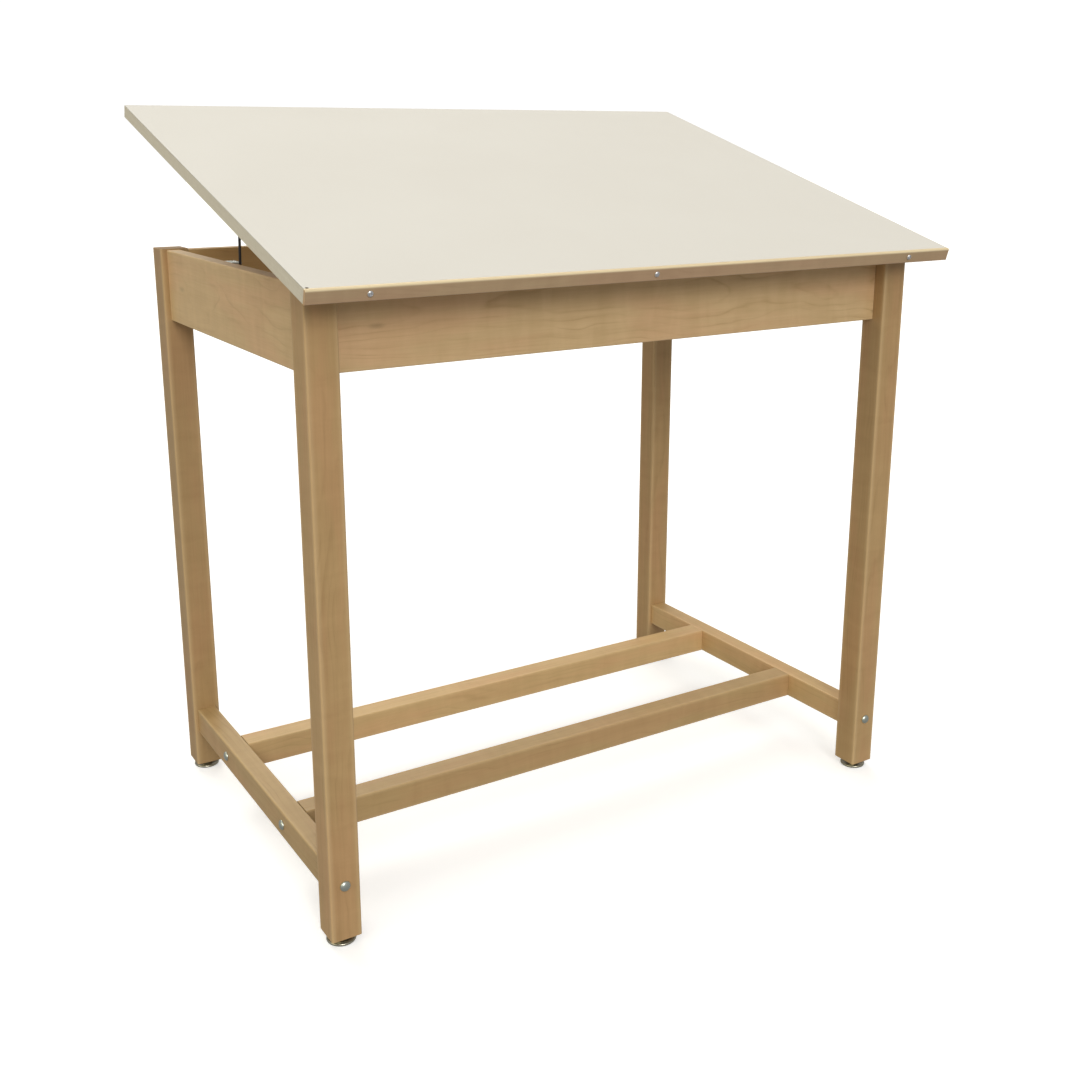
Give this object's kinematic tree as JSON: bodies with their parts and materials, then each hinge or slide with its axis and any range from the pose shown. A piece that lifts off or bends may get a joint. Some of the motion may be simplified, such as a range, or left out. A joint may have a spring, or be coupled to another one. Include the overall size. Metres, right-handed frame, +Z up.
{
  "type": "drafting table",
  "caption": "Four-leg maple drafting table with a tilting laminate board, hinged at the front and held by clamped steel stays.",
  "frame": {"origin": "floor under the middle of the table's bounding box, board at its stored slope", "axes": "+Z up, +X to the user's right, +Y from the user towards the high rear edge of the board"},
  "size_m": [1.0668, 0.7415, 1.1293],
  "materials": {
    "maple": "clear satin",
    "strip_maple": "clear satin",
    "board_core": "raw particle board",
    "laminate": "fine matt off-white",
    "edge_band": "satin beige",
    "zinc_steel": "zinc plated",
    "nickel_steel": "dull nickel",
    "dark_steel": "blackened",
    "black_plastic": "moulded satin"
  },
  "bodies": {
    "frame": {"apron_front": "maple", "apron_left": "maple", "apron_rear": "maple", "apron_right": "maple", "clamp_bracket_left": "zinc_steel", "clamp_bracket_right": "zinc_steel", "hinge_frame_leaf_left": "zinc_steel", "hinge_frame_leaf_right": "zinc_steel", "hinge_pin_left": "zinc_steel", "hinge_pin_right": "zinc_steel", "insert_front_left": "zinc_steel", "insert_front_right": "zinc_steel", "insert_rear_left": "zinc_steel", "insert_rear_right": "zinc_steel", "leg_bolt_front_left": "zinc_steel", "leg_bolt_front_right": "zinc_steel", "leg_bolt_rear_left": "zinc_steel", "leg_bolt_rear_right": "zinc_steel", "leg_front_left": "maple", "leg_front_right": "maple", "leg_nut_front_left": "zinc_steel", "leg_nut_front_right": "zinc_steel", "leg_nut_rear_left": "zinc_steel", "leg_nut_rear_right": "zinc_steel", "leg_rear_left": "maple", "leg_rear_right": "maple", "long_stretcher_front": "maple", "long_stretcher_rear": "maple", "side_stretcher_left": "maple", "side_stretcher_right": "maple", "stretcher_bolt_front_left": "zinc_steel", "stretcher_bolt_front_right": "zinc_steel", "stretcher_bolt_rear_left": "zinc_steel", "stretcher_bolt_rear_right": "zinc_steel", "stretcher_nut_front_left": "zinc_steel", "stretcher_nut_front_right": "zinc_steel", "stretcher_nut_rear_left": "zinc_steel", "stretcher_nut_rear_right": "zinc_steel"},
    "board": {"board_bracket_left": "zinc_steel", "board_bracket_right": "zinc_steel", "board_core": "board_core", "board_laminate": "laminate", "edge_band": "edge_band", "front_strip": "strip_maple", "hinge_board_leaf_left": "zinc_steel", "hinge_board_leaf_right": "zinc_steel", "strip_screw_1": "zinc_steel", "strip_screw_2": "zinc_steel", "strip_screw_3": "zinc_steel"},
    "clamp_left": {"clamp_block_left": "zinc_steel"},
    "clamp_right": {"clamp_block_right": "zinc_steel"},
    "knob_left": {"clamp_knob_left": "black_plastic"},
    "knob_right": {"clamp_knob_right": "black_plastic"},
    "glide_front_left": {"glide_front_left": "nickel_steel"},
    "glide_front_right": {"glide_front_right": "nickel_steel"},
    "glide_rear_left": {"glide_rear_left": "nickel_steel"},
    "glide_rear_right": {"glide_rear_right": "nickel_steel"},
    "stay_rod_left": {"stay_rod_left": "dark_steel"},
    "stay_rod_right": {"stay_rod_right": "dark_steel"}
  },
  "joints": [
    {"name": "board_tilt", "type": "hinge", "parent": "frame", "child": "board", "pos_m": [0, -0.30745, 0.9074], "axis": [1, 0, 0], "range_deg": [-16.5, 13.5]},
    {"name": "stay_swing_left", "type": "hinge", "parent": "board", "child": "stay_rod_left", "pos_m": [-0.46545, 0.04554, 1.00028], "axis": [1, 0, 0], "range_deg": [-7, 8.5]},
    {"name": "clamp_swivel_left", "type": "hinge", "parent": "frame", "child": "clamp_left", "pos_m": [-0.46545, 0.05601, 0.87395], "axis": [1, 0, 0], "range_deg": [-8.5, 7]},
    {"name": "knob_turn_left", "type": "hinge", "parent": "clamp_left", "child": "knob_left", "pos_m": [-0.46545, 0.05601, 0.87395], "axis": [1, 0, 0], "range_deg": [0, 360]},
    {"name": "stay_swing_right", "type": "hinge", "parent": "board", "child": "stay_rod_right", "pos_m": [0.46545, 0.04554, 1.00028], "axis": [1, 0, 0], "range_deg": [-7, 8.5]},
    {"name": "clamp_swivel_right", "type": "hinge", "parent": "frame", "child": "clamp_right", "pos_m": [0.46545, 0.05601, 0.87395], "axis": [1, 0, 0], "range_deg": [-8.5, 7]},
    {"name": "knob_turn_right", "type": "hinge", "parent": "clamp_right", "child": "knob_right", "pos_m": [0.46545, 0.05601, 0.87395], "axis": [-1, 0, 0], "range_deg": [0, 360]},
    {"name": "glide_height_front_left", "type": "slide", "parent": "frame", "child": "glide_front_left", "axis": [0, 0, -1], "range_m": [0, 0.01]},
    {"name": "glide_height_front_right", "type": "slide", "parent": "frame", "child": "glide_front_right", "axis": [0, 0, -1], "range_m": [0, 0.01]},
    {"name": "glide_height_rear_left", "type": "slide", "parent": "frame", "child": "glide_rear_left", "axis": [0, 0, -1], "range_m": [0, 0.01]},
    {"name": "glide_height_rear_right", "type": "slide", "parent": "frame", "child": "glide_rear_right", "axis": [0, 0, -1], "range_m": [0, 0.01]}
  ],
  "couplings": [
    {"joint": "stay_swing_left", "follows": "board_tilt", "ratio": -0.5},
    {"joint": "clamp_swivel_left", "follows": "board_tilt", "ratio": 0.5},
    {"joint": "stay_swing_right", "follows": "board_tilt", "ratio": -0.5},
    {"joint": "clamp_swivel_right", "follows": "board_tilt", "ratio": 0.5}
  ]
}
